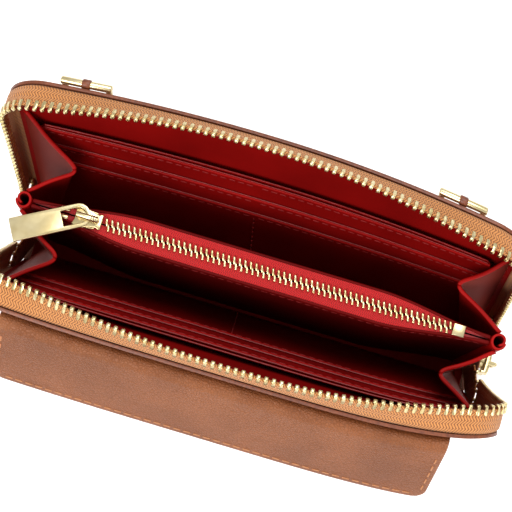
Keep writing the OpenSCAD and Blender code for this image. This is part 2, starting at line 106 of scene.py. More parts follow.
def on_cover(side, x, s, off):
    """A point of a cover: x along it, s up it from its hinge line, off outward from its hinge plane."""
    bow = BOW[side]
    up = max(s, 0.0) / COVER_H
    curl = bow["curl"][LEFT if x < 0 else RIGHT]
    off += up ** 1.5 * (bow["sag"] - curl * abs(x / 102) ** bow["power"])
    x += up * (bow["shift"] + bow["grow"] * x / 103)
    y = side * (HINGE_Y + s * math.sin(LEAN) + off * math.cos(LEAN))
    return Vector((x, y, HINGE_Z + s * math.cos(LEAN) - off * math.sin(LEAN)))


# ---- camera, light and floor ----
def make_camera():
    azimuth, elevation, roll = (math.radians(v) for v in (0.135, 80.88, 16.82))
    ahead = Vector((math.sin(azimuth) * math.cos(elevation),
                    math.cos(azimuth) * math.cos(elevation), -math.sin(elevation)))
    level = Vector((math.cos(azimuth), -math.sin(azimuth), 0))
    down = ahead.cross(level)
    right = math.cos(roll) * level - math.sin(roll) * down
    below = math.sin(roll) * level + math.cos(roll) * down
    data = bpy.data.cameras.new("camera")
    data.sensor_width = 36
    data.lens = 103.6
    data.clip_start = 0.01
    camera = bpy.data.objects.new("camera", data)
    turn = Matrix((right, -below, -ahead)).transposed().to_4x4()
    camera.matrix_world = Matrix.Translation(Vector((-3.7, -83.8, 637.2)) * MM) @ turn
    bpy.context.scene.collection.objects.link(camera)
    bpy.context.scene.camera = camera


def make_light(name, place, aim, size, power):
    data = bpy.data.lights.new(name, "AREA")
    data.shape = "RECTANGLE"
    data.size, data.size_y = size
    data.energy = power
    light = bpy.data.objects.new(name, data)
    light.location = place
    light.rotation_euler = (Vector(aim) - Vector(place)).to_track_quat("-Z", "Y").to_euler()
    bpy.context.scene.collection.objects.link(light)


def make_surroundings():
    bpy.context.scene.view_settings.view_transform = "Standard"
    world = bpy.data.worlds.new("studio")
    bpy.context.scene.world = world
    world.use_nodes = True
    world.node_tree.nodes["Background"].inputs["Color"].default_value = (1, 1, 1, 1)
    world.node_tree.nodes["Background"].inputs["Strength"].default_value = 0.6
    make_light("key", (-0.25, -0.55, 0.75), (0, -0.01, 0.05), (0.5, 0.4), 5.6)
    make_light("top", (0.1, 0.4, 0.9), (0, 0, 0.05), (0.5, 0.5), 4.8)
    make_light("low_fill", (0.7, -0.5, 0.35), (0, 0, 0.06), (0.4, 0.4), 2.2)
    bm = bmesh.new()
    bmesh.ops.create_grid(bm, x_segments=1, y_segments=1, size=2.5)
    bmesh.ops.translate(bm, verts=bm.verts, vec=(0, 0, -0.0006))
    mesh = bpy.data.meshes.new("floor")
    bm.to_mesh(mesh)
    bm.free()
    floor = bpy.data.objects.new("floor", mesh)
    bpy.context.scene.collection.objects.link(floor)
    mat = bpy.data.materials.new("pale_floor")
    mat.use_nodes = True
    paper = mat.node_tree.nodes["Principled BSDF"]
    paper.inputs["Base Color"].default_value = (0.93, 0.93, 0.93, 1)
    paper.inputs["Roughness"].default_value = 0.9
    paper.inputs["Emission Color"].default_value = (1, 1, 1, 1)
    paper.inputs["Emission Strength"].default_value = 0.35
    mesh.materials.append(mat)


make_camera()
make_surroundings()


# ---- shader node groups ----
def new_group(name, inputs, outputs):
    tree = bpy.data.node_groups.new(name, "ShaderNodeTree")
    for label, kind, value in inputs:
        socket = tree.interface.new_socket(label, in_out="INPUT", socket_type=kind)
        if value is not None:
            socket.default_value = value
    for label, kind in outputs:
        tree.interface.new_socket(label, in_out="OUTPUT", socket_type=kind)
    return tree, tree.nodes.new("NodeGroupInput"), tree.nodes.new("NodeGroupOutput")


def link(tree, *pairs):
    for a, b in pairs:
        tree.links.new(a, b)


def math_node(tree, operation, a, b=None):
    node = tree.nodes.new("ShaderNodeMath")
    node.operation = operation
    for i, value in enumerate((a, b)):
        if value is None:
            continue
        if isinstance(value, (int, float)):
            node.inputs[i].default_value = value
        else:
            tree.links.new(value, node.inputs[i])
    return node.outputs[0]


def weighted(tree, a, share_a, b, share_b):
    return math_node(tree, "ADD", math_node(tree, "MULTIPLY", a, share_a),
                     math_node(tree, "MULTIPLY", b, share_b))


def spread(tree, value, lo, hi, to_lo=0.0, to_hi=1.0):
    node = tree.nodes.new("ShaderNodeMapRange")
    tree.links.new(value, node.inputs["Value"])
    for label, v in (("From Min", lo), ("From Max", hi), ("To Min", to_lo), ("To Max", to_hi)):
        node.inputs[label].default_value = v
    return node.outputs["Result"]


def noise(tree, vector, scale, detail=3.0, rough=0.5):
    node = tree.nodes.new("ShaderNodeTexNoise")
    node.inputs["Scale"].default_value = scale
    node.inputs["Detail"].default_value = detail
    node.inputs["Roughness"].default_value = rough
    tree.links.new(vector, node.inputs["Vector"])
    return node.outputs["Fac"]


def grain_group():
    """Pebbled leather: small rounded cells of uneven size with fine creases between them."""
    tree, given, out = new_group(
        "pebbled_grain",
        [("Vector", "NodeSocketVector", None), ("Cells", "NodeSocketFloat", 900.0)],
        [("Height", "NodeSocketFloat"), ("Crease", "NodeSocketFloat"), ("Cloud", "NodeSocketFloat")])
    place = given.outputs["Vector"]
    bend = tree.nodes.new("ShaderNodeTexNoise")
    bend.inputs["Scale"].default_value = 420
    link(tree, (place, bend.inputs["Vector"]))
    shift = tree.nodes.new("ShaderNodeVectorMath")
    shift.operation = "MULTIPLY_ADD"
    shift.inputs[1].default_value = (0.0014, 0.0014, 0.0014)
    link(tree, (bend.outputs["Color"], shift.inputs[0]), (place, shift.inputs[2]))
    cells = tree.nodes.new("ShaderNodeTexVoronoi")
    cells.feature = "DISTANCE_TO_EDGE"
    link(tree, (shift.outputs[0], cells.inputs["Vector"]),
         (given.outputs["Cells"], cells.inputs["Scale"]))
    dome = spread(tree, cells.outputs["Distance"], 0.0, 0.22)
    pores = noise(tree, place, 5200, 2)
    height = weighted(tree, dome, 0.8, pores, 0.25)
    link(tree, (height, out.inputs["Height"]),
         (spread(tree, cells.outputs["Distance"], 0.0, 0.1, 1.0, 0.0), out.inputs["Crease"]),
         (noise(tree, place, 45, 4), out.inputs["Cloud"]))
    return tree


def smooth_hide_group():
    """Smooth lining leather: faint pores, soft wrinkles and slow colour changes."""
    tree, given, out = new_group(
        "smooth_hide", [("Vector", "NodeSocketVector", None)],
        [("Height", "NodeSocketFloat"), ("Cloud", "NodeSocketFloat")])
    place = given.outputs["Vector"]
    pores = noise(tree, place, 1600, 3, 0.6)
    wrinkle = tree.nodes.new("ShaderNodeTexNoise")
    wrinkle.inputs["Scale"].default_value = 90
    wrinkle.inputs["Detail"].default_value = 2
    wrinkle.inputs["Distortion"].default_value = 1.2
    link(tree, (place, wrinkle.inputs["Vector"]))
    height = math_node(tree, "ADD", math_node(tree, "MULTIPLY", pores, 0.5), wrinkle.outputs["Fac"])
    link(tree, (height, out.inputs["Height"]), (noise(tree, place, 30, 3), out.inputs["Cloud"]))
    return tree


def weave_group():
    """Herringbone tape: slanted yarns whose slant turns over at every rib. U runs along the tape."""
    tree, given, out = new_group(
        "herringbone",
        [("Vector", "NodeSocketVector", None), ("Yarns", "NodeSocketFloat", 90.0),
         ("Ribs", "NodeSocketFloat", 55.0)],
        [("Height", "NodeSocketFloat"), ("Shade", "NodeSocketFloat")])
    split = tree.nodes.new("ShaderNodeSeparateXYZ")
    link(tree, (given.outputs["Vector"], split.inputs[0]))
    along = math_node(tree, "MULTIPLY", split.outputs["X"], given.outputs["Yarns"])
    across = math_node(tree, "MULTIPLY", split.outputs["Y"], given.outputs["Ribs"])
    zigzag = math_node(tree, "PINGPONG", across, 1.0)
    phase = math_node(tree, "ADD", along, math_node(tree, "MULTIPLY", zigzag, 1.1))
    yarn, rib = (math_node(tree, "ABSOLUTE", math_node(tree, "SINE", math_node(
        tree, "MULTIPLY", value, math.pi))) for value in (phase, across))
    height = weighted(tree, yarn, 0.8, rib, 0.2)
    fuzz = noise(tree, given.outputs["Vector"], 160, 2)
    shade = weighted(tree, height, 0.75, fuzz, 0.25)
    link(tree, (height, out.inputs["Height"]), (shade, out.inputs["Shade"]))
    return tree


def wear_group():
    """Rubbed edges: where a surface turns sharply outward, broken up by noise."""
    tree, given, out = new_group(
        "edge_wear", [("Vector", "NodeSocketVector", None)], [("Mask", "NodeSocketFloat")])
    geometry = tree.nodes.new("ShaderNodeNewGeometry")
    edge = spread(tree, geometry.outputs["Pointiness"], 0.51, 0.58)
    patches = spread(tree, noise(tree, given.outputs["Vector"], 160, 4), 0.4, 0.65)
    link(tree, (math_node(tree, "MULTIPLY", edge, patches), out.inputs["Mask"]))
    return tree


GRAIN, HIDE, WEAVE, WEAR = grain_group(), smooth_hide_group(), weave_group(), wear_group()


class Finish:
    """A material being put together round one Principled shader."""

    def __init__(self, name, uv=None):
        self.mat = bpy.data.materials.new(name)
        self.mat.use_nodes = True
        self.tree = self.mat.node_tree
        self.shader = self.tree.nodes["Principled BSDF"]
        if uv:
            node = self.tree.nodes.new("ShaderNodeUVMap")
            node.uv_map = uv
            self.place = node.outputs[0]
        else:
            self.place = self.tree.nodes.new("ShaderNodeTexCoord").outputs["Object"]

    def set(self, **values):
        for label, value in values.items():
            self.shader.inputs[label.replace("_", " ")].default_value = value
        return self

    def group(self, tree, **values):
        node = self.tree.nodes.new("ShaderNodeGroup")
        node.node_tree = tree
        self.tree.links.new(self.place, node.inputs["Vector"])
        for label, value in values.items():
            node.inputs[label].default_value = value
        return node

    def colours(self, fac, stops, socket="Base Color"):
        ramp = self.tree.nodes.new("ShaderNodeValToRGB")
        while len(ramp.color_ramp.elements) < len(stops):
            ramp.color_ramp.elements.new(0.5)
        for element, (at, colour) in zip(ramp.color_ramp.elements, stops):
            element.position, element.color = at, colour
        self.tree.links.new(fac, ramp.inputs["Fac"])
        if socket:
            self.tree.links.new(ramp.outputs["Color"], self.shader.inputs[socket])
        return ramp.outputs["Color"]

    def over(self, base, top, fac, kind="MIX"):
        """Lays one colour over another by a mask and feeds Base Color."""
        node = self.tree.nodes.new("ShaderNodeMix")
        node.data_type = "RGBA"
        node.blend_type = kind
        self.tree.links.new(base, node.inputs["A"])
        if isinstance(top, tuple):
            node.inputs["B"].default_value = top
        else:
            self.tree.links.new(top, node.inputs["B"])
        self.tree.links.new(fac, node.inputs["Factor"])
        self.tree.links.new(node.outputs["Result"], self.shader.inputs["Base Color"])
        return node.outputs["Result"]

    def rough(self, value, lo, hi):
        self.tree.links.new(spread(self.tree, value, 0.0, 1.0, lo, hi), self.shader.inputs["Roughness"])

    def bump(self, height, distance, strength=1.0):
        node = self.tree.nodes.new("ShaderNodeBump")
        node.inputs["Distance"].default_value = distance
        node.inputs["Strength"].default_value = strength
        self.tree.links.new(height, node.inputs["Height"])
        self.tree.links.new(node.outputs[0], self.shader.inputs["Normal"])


def pebbled(name, dark, light, worn):
    f = Finish(name)
    g = f.group(GRAIN, Cells=900.0)
    base = f.colours(g.outputs["Cloud"], [(0.3, dark), (0.7, light)], None)
    creased = f.over(base, tuple(v * 0.55 for v in dark[:3]) + (1,), math_node(
        f.tree, "MULTIPLY", g.outputs["Crease"], 0.5))
    f.over(creased, worn, f.group(WEAR).outputs["Mask"])
    f.rough(g.outputs["Crease"], 0.42, 0.6)
    f.bump(g.outputs["Height"], 0.00022, 0.8)
    return f.set(Specular_IOR_Level=0.3).mat


def hide(name, dark, light, rough):
    f = Finish(name)
    g = f.group(HIDE)
    f.colours(g.outputs["Cloud"], [(0.3, dark), (0.7, light)])
    f.rough(g.outputs["Cloud"], rough - 0.06, rough + 0.08)
    f.bump(g.outputs["Height"], 0.0001, 0.6)
    return f.set(Specular_IOR_Level=0.1).mat


def tape_finish(name, dark, light, yarns, ribs):
    f = Finish(name, "fabric")
    g = f.group(WEAVE, Yarns=yarns, Ribs=ribs)
    f.colours(g.outputs["Shade"], [(0.25, dark), (0.7, light)])
    f.rough(g.outputs["Shade"], 0.75, 0.9)
    f.bump(g.outputs["Height"], 0.0003, 1.0)
    return f.set(Sheen_Weight=0.15, Sheen_Roughness=0.5).mat


def metal_finish(name, dark, light, rough):
    f = Finish(name)
    fine = noise(f.tree, f.place, 900, 4, 0.6)
    slow = noise(f.tree, f.place, 140, 2)
    f.colours(slow, [(0.3, dark), (0.7, light)])
    f.rough(fine, rough, rough + 0.14)
    f.bump(fine, 0.00001, 0.4)
    return f.set(Metallic=1.0).mat


def thread_finish(name, dark, light):
    f = Finish(name)
    wave = f.tree.nodes.new("ShaderNodeTexWave")
    wave.inputs["Scale"].default_value = 900
    wave.inputs["Distortion"].default_value = 1.0
    f.tree.links.new(f.place, wave.inputs["Vector"])
    f.colours(wave.outputs["Fac"], [(0.1, dark), (0.8, light)])
    f.bump(wave.outputs["Fac"], 0.00006, 0.8)
    return f.set(Roughness=0.65).mat


def paint_finish(name, dark, light):
    f = Finish(name)
    ridges = noise(f.tree, f.place, 700, 3)
    f.colours(ridges, [(0.3, dark), (0.7, light)])
    f.bump(ridges, 0.0001, 0.5)
    return f.set(Roughness=0.45).mat


TAN = pebbled("tan_pebbled_leather", srgb(122, 68, 34), srgb(142, 82, 44), srgb(178, 118, 78))
ROSY = pebbled("brown_inner_leather", srgb(104, 58, 38), srgb(128, 76, 52), srgb(150, 100, 74))
RED = hide("red_lining_leather", srgb(112, 3, 2), srgb(134, 5, 3), 0.62)
# A brighter copy of the red lining leather: painted highlight on the rows' turned edges, the gussets' top
# edges and the side tubes
PAINTED_HIGHLIGHT_RED = hide("red_leather_painted_highlight", srgb(138, 8, 7), srgb(162, 14, 11), 0.5)
# A darker copy of the red lining leather: painted shade on the centre pocket's walls, floor and border, and
# on hidden backs
PAINTED_SHADE_RED = hide("red_leather_painted_shade", srgb(82, 2, 2), srgb(100, 4, 3), 0.62)
# Darker brownish red on the gussets' outer faces: painted shade where they sit deep in the wallet
PAINTED_SHADE_GUSSET_BACK = hide("gusset_outer_leather_painted_shade", srgb(92, 22, 15), srgb(116, 36, 24), 0.66)
TAPE = tape_finish("tan_zip_tape", srgb(118, 64, 28), srgb(204, 136, 76), 90.0, 62.0)
FINE_TAPE = tape_finish("red_zip_tape", srgb(120, 2, 5), srgb(206, 12, 16), 130.0, 110.0)
GOLD = metal_finish("pale_gold", srgb(208, 188, 136), srgb(232, 216, 172), 0.24)
TOOTH_GOLD = metal_finish("tooth_gold", srgb(206, 184, 126), srgb(238, 222, 174), 0.24)
STEEL = metal_finish("magnet_nickel", srgb(150, 150, 152), srgb(190, 190, 190), 0.3)
TAN_THREAD = thread_finish("tan_thread", srgb(150, 84, 44), srgb(206, 142, 92))
RED_THREAD = thread_finish("red_thread", srgb(96, 4, 6), srgb(176, 22, 20))
EDGE_PAINT = paint_finish("edge_paint", srgb(96, 46, 24), srgb(132, 70, 38))
RED_EDGE = paint_finish("red_edge", srgb(110, 8, 8), srgb(150, 22, 18))
CARD = paint_finish("stiffener_card", srgb(120, 112, 100), srgb(150, 142, 130))

# The face, the back and the rim of a piece cut from each leather; the darker red on the lining's back and
# on the pocket's sheet is painted shade
TAN_SHEET, RED_SHEET = [TAN, ROSY, EDGE_PAINT], [RED, RED, RED_EDGE]
LINING_SHEET, POCKET_SHEET = [RED, PAINTED_SHADE_RED, RED_EDGE], [PAINTED_SHADE_RED, PAINTED_SHADE_RED, RED_EDGE]


# ---- mesh helpers ----
def finish_piece(name, bm, mats, smooth_faces=True):
    mesh = bpy.data.meshes.new(name)
    bm.to_mesh(mesh)
    bm.free()
    for mat in mats:
        mesh.materials.append(mat)
    mesh.polygons.foreach_set("use_smooth", [smooth_faces] * len(mesh.polygons))
    piece = bpy.data.objects.new(name, mesh)
    bpy.context.scene.collection.objects.link(piece)
    return piece


def add_grid(bm, columns, rows, place, size, mat=0, wrap=False):
    """A grid whose vertices are set by place(u, v), with a UV map of one unit to 100 mm."""
    made = bmesh.ops.create_grid(bm, x_segments=columns, y_segments=rows, size=0.5)["verts"]
    faces = {f for v in made for f in v.link_faces}
    uv = bm.loops.layers.uv.get("fabric") or bm.loops.layers.uv.new("fabric")
    for f in faces:
        f.material_index = mat
        for loop in f.loops:
            co = loop.vert.co
            loop[uv].uv = ((co.x + 0.5) * size[0] / 100, (co.y + 0.5) * size[1] / 100)
    spots = [(v, v.co.x + 0.5, v.co.y + 0.5) for v in made]
    for v, a, b in spots:
        v.co = place(a, b) * MM
    if wrap:
        bmesh.ops.remove_doubles(bm, verts=made, dist=1e-6)
    return made


def soften(piece, name, width, segments, angle):
    soft = piece.modifiers.new(name, "BEVEL")
    soft.width = width * MM
    soft.segments = segments
    soft.limit_method = "ANGLE"
    soft.angle_limit = math.radians(angle)
    soft.harden_normals = False


def sheet(name, columns, rows, place, size, mats, thick, facing=1, rim=0.25):
    """A leather or cloth piece: a shaped grid is its face, with the thickness behind it, a painted
    rim and softened edges. mats are the face, the back and the rim. facing is -1 where the grid
    as laid out looks the wrong way."""
    bm = bmesh.new()
    add_grid(bm, columns, rows, place, size)
    if facing < 0:
        bmesh.ops.reverse_faces(bm, faces=bm.faces)
    piece = finish_piece(name, bm, mats)
    solid = piece.modifiers.new("thickness", "SOLIDIFY")
    solid.thickness = thick * MM
    solid.offset = -1
    solid.use_even_offset = False
    solid.material_offset = 1
    solid.material_offset_rim = 2
    if rim:
        soften(piece, "soft_edge", min(rim, thick * 0.45), 2, 50)
    return piece


def orient(bm):
    bmesh.ops.recalc_face_normals(bm, faces=bm.faces)


def sharp_edges(bm, angle):
    return [e for e in bm.edges if e.is_manifold and e.calc_face_angle(0) > angle]


def round_edges(bm, edges, offset, segments=1):
    return bmesh.ops.bevel(bm, geom=edges, offset=offset, segments=segments, profile=0.5,
                           affect="EDGES", material=-1)["verts"]


def box_in_three(bm, size, cuts, across):
    """A box of a size, cut into three at two places along the direction across."""
    bmesh.ops.scale(bm, vec=size, verts=bmesh.ops.create_cube(bm, size=1.0)["verts"])
    for cut in cuts:
        bmesh.ops.bisect_plane(bm, geom=bm.verts[:] + bm.edges[:] + bm.faces[:],
                               plane_co=Vector(across) * cut, plane_no=across)


def own(piece, body, slot_name, *nodes):
    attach(piece, body)
    if nodes:
        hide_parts(*nodes)
    return piece


def from_cad(node, name, body, slot_name, mat, bevel=0.2, move=None, segments=2):
    """A copy of a CAD node with its doubles merged and its edges rounded."""
    bm = bmesh.new()
    bm.from_mesh(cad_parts[node].data)
    bmesh.ops.remove_doubles(bm, verts=bm.verts, dist=1e-6)
    bmesh.ops.dissolve_limit(bm, angle_limit=math.radians(2), verts=bm.verts, edges=bm.edges)
    if move:
        for v in bm.verts:
            v.co = move(v.co / MM) * MM
    piece = finish_piece(name, bm, [mat], False)
    if bevel:
        soften(piece, "rounded", bevel, segments, 35)
    for p in piece.data.polygons:
        p.use_smooth = True
    return own(piece, body, slot_name, node)


def bow_cad(side):
    """Moves a CAD point of a cover onto the bowed cover."""
    def move(p):
        y = side * p.y - HINGE_Y
        z = p.z - HINGE_Z
        s = y * math.sin(LEAN) + z * math.cos(LEAN)
        off = y * math.cos(LEAN) - z * math.sin(LEAN)
        return on_cover(side, p.x, s, off)
    return move


def copies(name, make_template, frames, mats):
    """One piece made of many small copies. Each frame is a place and its three axes."""
    small = bmesh.new()
    make_template(small)
    orient(small)
    template = bpy.data.meshes.new("template")
    small.to_mesh(template)
    small.free()
    bm = bmesh.new()
    for place, a, b, c in frames:
        known = len(bm.verts)
        bm.from_mesh(template)
        bm.verts.ensure_lookup_table()
        turn = Matrix((a, b, c)).transposed()
        for v in bm.verts[known:]:
            v.co = (place + turn @ v.co) * MM
    bpy.data.meshes.remove(template)
    return finish_piece(name, bm, mats)


def stitch_template(length, width, height):
    def make(bm):
        bmesh.ops.create_cube(bm, size=1.0)
        bmesh.ops.scale(bm, vec=(length, width, height), verts=bm.verts)
        ends = [e for e in bm.edges if abs(e.verts[0].co.x - e.verts[1].co.x) < 1e-6]
        round_edges(bm, ends, min(width, height) * 0.3)
        for v in bm.verts:
            v.co.z -= (v.co.x / length * 2) ** 2 * height * 0.35
    return make


def along(points, pitch):
    """Places at an even pitch along a line of points, each with the direction there."""
    legs = [(b - a).length for a, b in zip(points, points[1:])]
    total = sum(legs)
    count = max(int(total / pitch), 1)
    out, leg, gone = [], 0, 0.0
    for i in range(count):
        target = (i + 0.5) * total / count
        while leg < len(legs) - 1 and gone + legs[leg] < target:
            gone += legs[leg]
            leg += 1
        share = (target - gone) / max(legs[leg], 1e-9)
        a, b = points[leg:leg + 2]
        out.append((a.lerp(b, share), (b - a).normalized()))
    return out


def stitches(name, lines, up, mat, body, slot_name, stitch=LONG_STITCH):
    """Sewing thread along lines of points on a surface that faces up."""
    pitch, *size = stitch
    frames = []
    for points in lines:
        for place, ahead in along(points, pitch):
            side = up.cross(ahead).normalized()
            frames.append((place, ahead, side, ahead.cross(side).normalized()))
    piece = copies(name, stitch_template(*size), frames, [mat])
    return own(piece, body, slot_name)


# ---- covers ----
def outline_s(v, bottom, top, r):
    """Height on a cover for a row share v, closer together at the rounded corners."""
    if v < 0.66:
        return mix(bottom, top - r, v / 0.66)
    return top - r + r * math.sin((v - 0.66) / 0.34 * math.pi / 2)


def outline_half(s, half, top, r):
    if s <= top - r:
        return half
    return half - r + math.sqrt(max(r * r - (s - top + r) ** 2, 0.0))


def cover_layer(side, name, inset, r, off, thick, mats, slot_name, node, columns=64, rows=44, outward=True):
    """One layer of a cover, inset from the cover's outline, its inner face off from the hinge plane."""
    half, top = COVER_HALF - inset, COVER_H - inset

    def place(u, v):
        s = outline_s(v, COVER_FOOT, top, r)
        x = (2 * u - 1) * outline_half(s, half, top, r)
        return on_cover(side, x, s, off + (thick if outward else 0))
    piece = sheet(f"{SIDE_NAME[side]}_cover_{name}", columns, rows, place, (2 * half, top - COVER_FOOT),
                  mats, thick, -side if outward else side)
    own(piece, f"{SIDE_NAME[side]}_cover", slot_name, f"{SIDE_NAME[side]}_cover_{node}")


PATH_SIDE, PATH_ARC = PATH_H - PATH_R - PATH_S0, math.pi * PATH_R / 2
PATH_L = 2 * (PATH_SIDE + PATH_ARC + PATH_HALF - PATH_R)


def path_at(t):
    """x, s and the outward direction at a distance t along the outer zip's line."""
    hand = 1
    if t > PATH_L / 2:
        t, hand = PATH_L - t, -1
    if t < PATH_SIDE:
        x, s, nx, ns = PATH_HALF, PATH_S0 + t, 1.0, 0.0
    elif t < PATH_SIDE + PATH_ARC:
        a = (t - PATH_SIDE) / PATH_R
        nx, ns = math.cos(a), math.sin(a)
        x, s = PATH_HALF - PATH_R + PATH_R * nx, PATH_H - PATH_R + PATH_R * ns
    else:
        x, s, nx, ns = PATH_HALF - PATH_R - (t - PATH_SIDE - PATH_ARC), PATH_H, 0.0, 1.0
    return hand * x, s, hand * nx, ns


def tape_bend(side, x, ns):
    if ns < 0.999:
        return math.radians(CORNER_BEND)
    share = min(abs(x) / (PATH_HALF - PATH_R), 1)
    return math.radians(mix(MID_BEND[side], CORNER_BEND, share ** 2.4))


def tape_point(side, t, reach, lift=0.0):
    """A point of the tape, reach across it from its line on the cover, lift off its inner face."""
    x, s, nx, ns = path_at(t)
    bend, soft, steps = tape_bend(side, x, ns), 3.0, 10
    start = n = -TAPE_ROOT
    d = 0.0
    for i in range(steps):
        a = start + (reach - start) * (i + 0.5) / steps
        angle = bend * smooth((a + soft / 2) / soft)
        n += math.cos(angle) * (reach - start) / steps
        d += math.sin(angle) * (reach - start) / steps
    off = TAPE_OFF - d + lift * math.cos(angle)
    n += lift * math.sin(angle)
    return on_cover(side, x + n * nx, s + n * ns, off)


def make_cover_zip(side):
    name = SIDE_NAME[side]
    body = f"{name}_cover"
    piece = sheet(f"{name}_zip_tape_cloth", 200, 12,
                  lambda u, v: tape_point(side, u * PATH_L, -TAPE_ROOT + v * (TAPE_ROOT + TAPE_W)),
                  (PATH_L, TAPE_ROOT + TAPE_W), [TAPE] * 3, TAPE_T, -side, 0)
    own(piece, body, "tan_tape", f"{name}_zip_tape")
    # corded bead that the teeth are crimped on
    bm = bmesh.new()

    def bead(u, v):
        a = 2 * math.pi * v
        mid, radius = TAPE_W - 0.2, 0.75
        return tape_point(side, u * PATH_L, mid + radius * math.cos(a), TAPE_T / 2 + radius * math.sin(a))
    add_grid(bm, 200, 8, bead, (PATH_L, 5), 0, True)
    orient(bm)
    own(finish_piece(f"{name}_zip_cord", bm, [TAPE]), body, "tan_tape")
    frames = []
    count = int(PATH_L / TOOTH_PITCH)
    for i in range(count):
        t = (i + 0.5) * PATH_L / count
        here = tape_point(side, t, TAPE_W - TOOTH_GRIP, TAPE_T / 2)
        tip = tape_point(side, t, TAPE_W, TAPE_T / 2)
        ahead = (tape_point(side, t + 0.3, TAPE_W, TAPE_T / 2)
                 - tape_point(side, t - 0.3, TAPE_W, TAPE_T / 2)).normalized()
        out = (tip - here).normalized()
        up = ahead.cross(out).normalized()
        ahead = out.cross(up).normalized()
        frames.append((here, out, ahead, up))
    piece = copies(f"{name}_zip_teeth_row", tooth_template, frames, [TOOTH_GOLD])
    own(piece, body, "gold_metal", f"{name}_zip_teeth")


def tooth_template(bm):
    """A crimped tooth: a saddle over the cord, a waist and a rounded head. X runs out from the tape."""
    box_in_three(bm, (TOOTH_L, 1.75, 2.6), (1.9 - TOOTH_L / 2, 2.7 - TOOTH_L / 2), (1, 0, 0))
    bmesh.ops.translate(bm, vec=(TOOTH_L / 2, 0, 0), verts=bm.verts)
    for v in bm.verts:  # narrowed at the waist, the head and the root
        if abs(v.co.x - 2.7) < 0.01:
            v.co.y *= 0.8
            v.co.z *= 0.8
        elif v.co.x > 3:
            v.co.z *= 0.7
            v.co.y = v.co.y * 0.9 + 0.2
        elif v.co.x < 0.1:
            v.co.y *= 0.8
    round_edges(bm, sharp_edges(bm, 0.6), 0.24)


def face_out(side):
    return Vector((0, side * math.cos(LEAN), -math.sin(LEAN)))


def row_line(side, x0, x1, s, off):
    return [on_cover(side, mix(x0, x1, i / 60), s, off) for i in range(61)]


def edge_line(side, inset, off, bottom=8.0):
    """The cover's outline, inset from its edge, from one lower end round to the other."""
    half, top, r = COVER_HALF - inset, COVER_H - inset, max(CORNER_R - inset, 2)
    arc = [(half - r + r * math.cos(a), top - r + r * math.sin(a))
           for a in [math.pi / 2 * i / 12 for i in range(1, 13)]]
    right = [(half, mix(bottom, top - r, i / 20)) for i in range(21)] + arc
    topline = [(mix(half - r, r - half, i / 60), top) for i in range(1, 60)]
    ring = right + topline + [(-x, s) for x, s in reversed(right)]
    return [on_cover(side, x, s, off) for x, s in ring]


def make_cover(side):
    name = SIDE_NAME[side]
    body = f"{name}_cover"
    cover_layer(side, "outside", 0.5, CORNER_R, LEATHER_OFF, LEATHER_T, TAN_SHEET,
                "tan_leather", "leather")
    cover_layer(side, "stiffener", 6.2, CORNER_R - 6.2, BOARD_OFF, 0.9, [CARD] * 3,
                "stiffener_board", "board", columns=40, rows=24)
    cover_layer(side, "inside", 4, CORNER_R - 4, LINING_OFF, LINING_T, LINING_SHEET,
                "red_leather", "lining", outward=False)
    stitches(f"{name}_cover_seam", [edge_line(side, 2.6, LEATHER_OFF + LEATHER_T + 0.05)],
             face_out(side), TAN_THREAD, body, "tan_leather")
    stitches(f"{name}_lining_seam", [edge_line(side, 6.2, LINING_OFF - 0.05, 22.0)],
             -face_out(side), RED_THREAD, body, "red_leather")
    make_cover_zip(side)
    make_rows(side)


def make_rows(side):
    name = SIDE_NAME[side]
    body = f"{name}_cover"
    pitch, clear, dip, mats = 0.75, 0.06, 0.5, RED_SHEET

    def sag(x):
        return dip * math.cos(math.pi * x / PANEL_HALF / 2)

    def flat_row(piece, top, off, node, r, sags):
        def place(u, v):
            s = mix(3.0, top, v ** 0.8)
            x = (2 * u - 1) * outline_half(s, PANEL_HALF, top, r)
            return on_cover(side, x, s, off - (sag(x) * v if sags else 0))
        made = sheet(piece, 64, 26, place, (2 * PANEL_HALF, top - 3.0), mats, LAYER_T, side, 0.3)
        own(made, body, "red_leather", node)

    flat_row(f"{name}_bill_wall", PANEL_H + 0.5, DIVIDER_OFF, f"{name}_bill_divider", 2.0, False)
    for row in (1, 2, 3):
        top = PANEL_H - (row - 1) * ROW_STEP
        off = DIVIDER_OFF - row * pitch
        flat_row(f"{name}_card_slots_{row}", top, off, f"{name}_card_row_{row}", 1.5, True)
        # turned edge of the row, a rolled band of leather folded over its top
        bm = bmesh.new()

        def roll(u, v, top=top, off=off):
            x = (2 * u - 1) * (PANEL_HALF - 0.6)
            a = 2 * math.pi * v
            wide = 1.25 if math.cos(a) < 0 else 0.5
            s = top - 0.95 + wide * math.cos(a)
            return on_cover(side, x, s, off + 0.3 + 0.62 * math.sin(a) - sag(x))
        add_grid(bm, 64, 12, roll, (2 * PANEL_HALF, 5), 0, True)
        orient(bm)
        # the turned edge's brighter red is a painted highlight
        own(finish_piece(f"{name}_row_{row}_turned_edge", bm, [PAINTED_HIGHLIGHT_RED]), body, "red_leather")
        gap, end = 1.3, PANEL_HALF - 3
        lines = [[on_cover(side, x, top - 3.1, off - clear - sag(x))
                  for x in (mix(a, b, i / 30) for i in range(31))]
                 for a, b in ((-end, SLOT_MIDDLE - gap), (SLOT_MIDDLE + gap, end))]
        stitches(f"{name}_row_{row}_seam", lines, -face_out(side), RED_THREAD, body, "red_leather",
                 ROW_STITCH)
    # seam that parts the card slots in the middle
    middle = [on_cover(side, SLOT_MIDDLE, s, DIVIDER_OFF - 3 * pitch - clear - dip) for s in range(6, 56)]
    stitches(f"{name}_slot_divide_seam", [middle], -face_out(side), RED_THREAD, body, "red_leather",
             ROW_STITCH)


for cover_side in (FRONT, BACK):
    make_cover(cover_side)


